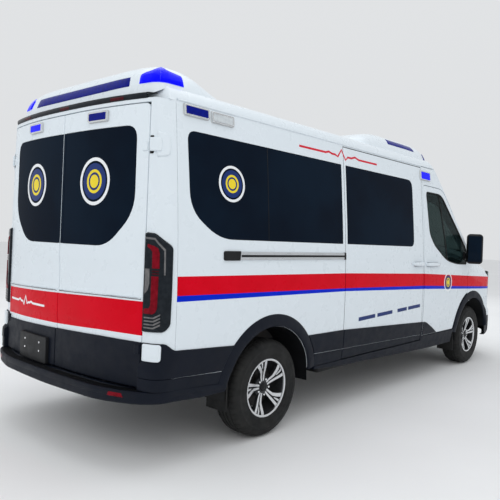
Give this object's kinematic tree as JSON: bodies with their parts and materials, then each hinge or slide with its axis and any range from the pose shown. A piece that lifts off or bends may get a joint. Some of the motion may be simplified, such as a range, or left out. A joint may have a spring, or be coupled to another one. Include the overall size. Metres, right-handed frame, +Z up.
{
  "type": "ambulance",
  "caption": "Van-bodied ambulance with long wheelbase and medium roof: hinged cab and rear doors, bonnet, steered and rolling wheels, roof light pods, stretcher bay.",
  "frame": {"origin": "on the ground, midway along the length and on the vehicle's centre plane", "axes": "+X forward, +Y to the left side, +Z up"},
  "size_m": [5.981, 2.4454, 2.56],
  "materials": {
    "white_paint": "as built",
    "black_plastic": "satin",
    "dark_glass": "as built",
    "lamp_clear": "as built",
    "lamp_red": "as built",
    "blue_lens": "as built",
    "silver_trim": "as built",
    "chassis_steel": "as built",
    "cast_metal": "as built",
    "exhaust_steel": "as built",
    "seat_cloth": "as built",
    "blue_vinyl": "as built",
    "partition_board": "as built",
    "stretcher_pad": "as built",
    "alloy": "as built",
    "tyre_rubber": "as built"
  },
  "bodies": {
    "root": {"floor_pan": "chassis_steel", "body_side_left": "white_paint", "body_side_right": "white_paint", "sliding_door": "white_paint", "side_windows": "dark_glass", "roof_panel": "white_paint", "rear_frame": "white_paint", "cab_frame": "white_paint", "front_wings": "white_paint", "windscreen": "dark_glass", "grille": "black_plastic", "headlamps": "lamp_clear", "front_bumper": "black_plastic", "rear_bumper": "black_plastic", "side_sills": "black_plastic", "sliding_rail": "silver_trim", "tail_lamps": "lamp_red", "light_pods": "white_paint", "beacon_lenses": "blue_lens", "engine_block": "cast_metal", "front_crossmember": "chassis_steel", "rear_axle": "chassis_steel", "leaf_springs": "chassis_steel", "fuel_tank": "black_plastic", "exhaust_pipe": "exhaust_steel", "front_seats": "seat_cloth", "dashboard": "black_plastic", "cab_partition": "partition_board", "stretcher": "stretcher_pad", "side_bench": "blue_vinyl"},
    "front_door_left": {"front_door_left": "white_paint", "front_glass_left": "dark_glass", "mirror_left": "black_plastic"},
    "front_door_right": {"front_door_right": "white_paint", "front_glass_right": "dark_glass", "mirror_right": "black_plastic"},
    "rear_door_left": {"rear_door_left": "white_paint", "rear_glass_left": "dark_glass"},
    "rear_door_right": {"rear_door_right": "white_paint", "rear_glass_right": "dark_glass"},
    "bonnet": {"bonnet": "white_paint"},
    "steering_wheel": {"steering_wheel": "black_plastic"},
    "knuckle_left": {"knuckle_left": "chassis_steel"},
    "knuckle_right": {"knuckle_right": "chassis_steel"},
    "wheel_front_left": {"rim_front_left": "alloy", "tyre_front_left": "tyre_rubber"},
    "wheel_front_right": {"rim_front_right": "alloy", "tyre_front_right": "tyre_rubber"},
    "wheel_rear_left": {"rim_rear_left": "alloy", "tyre_rear_left": "tyre_rubber"},
    "wheel_rear_right": {"rim_rear_right": "alloy", "tyre_rear_right": "tyre_rubber"}
  },
  "joints": [
    {"name": "front_door_left_hinge", "type": "hinge", "parent": "root", "child": "front_door_left", "pos_m": [1.79, 1.017, 1.2], "axis": [0, 0, -1], "range_deg": [0, 68]},
    {"name": "front_door_right_hinge", "type": "hinge", "parent": "root", "child": "front_door_right", "pos_m": [1.79, -1.017, 1.2], "axis": [0, 0, 1], "range_deg": [0, 68]},
    {"name": "rear_door_left_hinge", "type": "hinge", "parent": "root", "child": "rear_door_left", "pos_m": [-2.824, 0.958, 1.4], "axis": [0, 0, -1], "range_deg": [0, 180]},
    {"name": "rear_door_right_hinge", "type": "hinge", "parent": "root", "child": "rear_door_right", "pos_m": [-2.824, -0.958, 1.4], "axis": [0, 0, 1], "range_deg": [0, 180]},
    {"name": "bonnet_hinge", "type": "hinge", "parent": "root", "child": "bonnet", "pos_m": [2.236, 0, 1.4], "axis": [0, -1, 0], "range_deg": [0, 55]},
    {"name": "steering_left", "type": "hinge", "parent": "root", "child": "knuckle_left", "pos_m": [1.9675, 0.742, 0.353], "axis": [0, 0, 1], "range_deg": [-35, 35]},
    {"name": "steering_right", "type": "hinge", "parent": "root", "child": "knuckle_right", "pos_m": [1.9675, -0.742, 0.353], "axis": [0, 0, 1], "range_deg": [-35, 35]},
    {"name": "steering_wheel_turn", "type": "hinge", "parent": "root", "child": "steering_wheel", "pos_m": [1.61, 0.48, 1.345], "axis": [-0.848, 0, 0.5299], "range_deg": [-600, 600]},
    {"name": "wheel_front_left_spin", "type": "hinge", "parent": "knuckle_left", "child": "wheel_front_left", "pos_m": [1.9675, 0.866, 0.353], "axis": [0, 1, 0], "continuous": true},
    {"name": "wheel_front_right_spin", "type": "hinge", "parent": "knuckle_right", "child": "wheel_front_right", "pos_m": [1.9675, -0.866, 0.353], "axis": [0, 1, 0], "continuous": true},
    {"name": "wheel_rear_left_spin", "type": "hinge", "parent": "root", "child": "wheel_rear_left", "pos_m": [-1.7825, 0.866, 0.353], "axis": [0, 1, 0], "continuous": true},
    {"name": "wheel_rear_right_spin", "type": "hinge", "parent": "root", "child": "wheel_rear_right", "pos_m": [-1.7825, -0.866, 0.353], "axis": [0, 1, 0], "continuous": true}
  ],
  "couplings": [
    {"joint": "steering_right", "follows": "steering_left", "ratio": 1},
    {"joint": "steering_wheel_turn", "follows": "steering_left", "ratio": 16}
  ]
}
